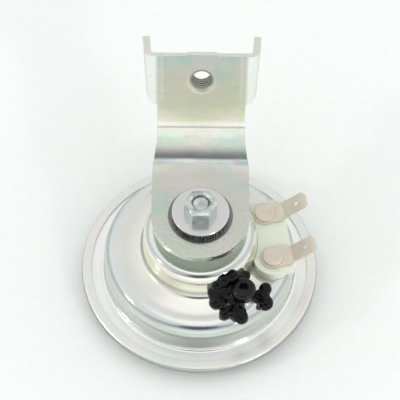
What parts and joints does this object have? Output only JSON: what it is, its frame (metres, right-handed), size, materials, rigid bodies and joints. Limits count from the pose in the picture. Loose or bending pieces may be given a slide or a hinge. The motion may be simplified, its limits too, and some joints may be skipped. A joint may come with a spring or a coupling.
{
  "type": "car horn",
  "caption": "Disc-type electric vehicle horn lying face down, with a stepped steel housing, folded mounting bracket, blade terminals and a sealed adjusting screw.",
  "frame": {"origin": "on the horn's axis, in the plane of the tone disc's flat ring that it rests on", "axes": "+Z along the horn's axis from the tone disc to the bracket nut, +Y towards the bracket's mounting plate, +X towards the terminals"},
  "size_m": [0.0866, 0.102, 0.0738],
  "materials": {
    "zinc_steel": "bright zinc plated and passivated",
    "zinc_steel_satin": "zinc plated, satin",
    "bare_steel": "machined",
    "spring_steel": "rolled strip",
    "tinned_brass": "tin plated, dull",
    "contact_bronze": "rolled strip",
    "contact_silver": "polished",
    "copper_wire": "enamelled",
    "natural_nylon": "moulded, slightly translucent",
    "fibre": "punched",
    "gasket": "matt",
    "black_screw": "black oxide, oiled",
    "black_compound": "glossy, set"
  },
  "bodies": {
    "horn_body": {"adjuster_bush": "zinc_steel", "adjusting_screw": "black_screw", "arm_lead_to_terminal": "copper_wire", "bracket_nut": "zinc_steel", "bracket_washer": "zinc_steel", "breaker_base": "bare_steel", "clamp_ring": "zinc_steel", "coil_bobbin": "natural_nylon", "coil_lead_to_leaf": "copper_wire", "coil_lead_to_terminal": "copper_wire", "coil_winding": "copper_wire", "core_spacer_collar": "zinc_steel", "diaphragm": "spring_steel", "fixed_contact_arm": "contact_bronze", "fixed_contact_point": "contact_silver", "flange_gasket": "gasket", "housing": "zinc_steel", "inner_insulator": "fibre", "mounting_bracket": "zinc_steel_satin", "moving_contact_leaf": "contact_bronze", "pole_core": "zinc_steel", "sealing_compound": "black_compound", "stack_insulator_lower": "fibre", "stack_insulator_middle": "fibre", "stack_insulator_upper": "fibre", "stack_rivet": "tinned_brass", "terminal_insulator": "natural_nylon", "terminal_lower": "tinned_brass", "terminal_rivet_lower": "tinned_brass", "terminal_rivet_upper": "tinned_brass", "terminal_upper": "tinned_brass"},
    "vibrating_armature": {"armature": "bare_steel", "armature_pusher": "fibre", "tone_disc": "zinc_steel", "tone_disc_spacer": "bare_steel"},
    "moving_contact": {"moving_contact_point": "contact_silver"}
  },
  "joints": [
    {"name": "armature_stroke", "type": "slide", "parent": "horn_body", "child": "vibrating_armature", "axis": [0, 0, 1], "range_m": [0, 0.0006], "stiffness_N_per_m": 12000, "deforming": ["diaphragm"]},
    {"name": "contact_lift", "type": "slide", "parent": "horn_body", "child": "moving_contact", "axis": [0, 0, 1], "range_m": [0, 0.00048], "deforming": ["moving_contact_leaf"]}
  ],
  "couplings": [
    {"joint": "contact_lift", "follows": "armature_stroke", "ratio": 0.8}
  ]
}
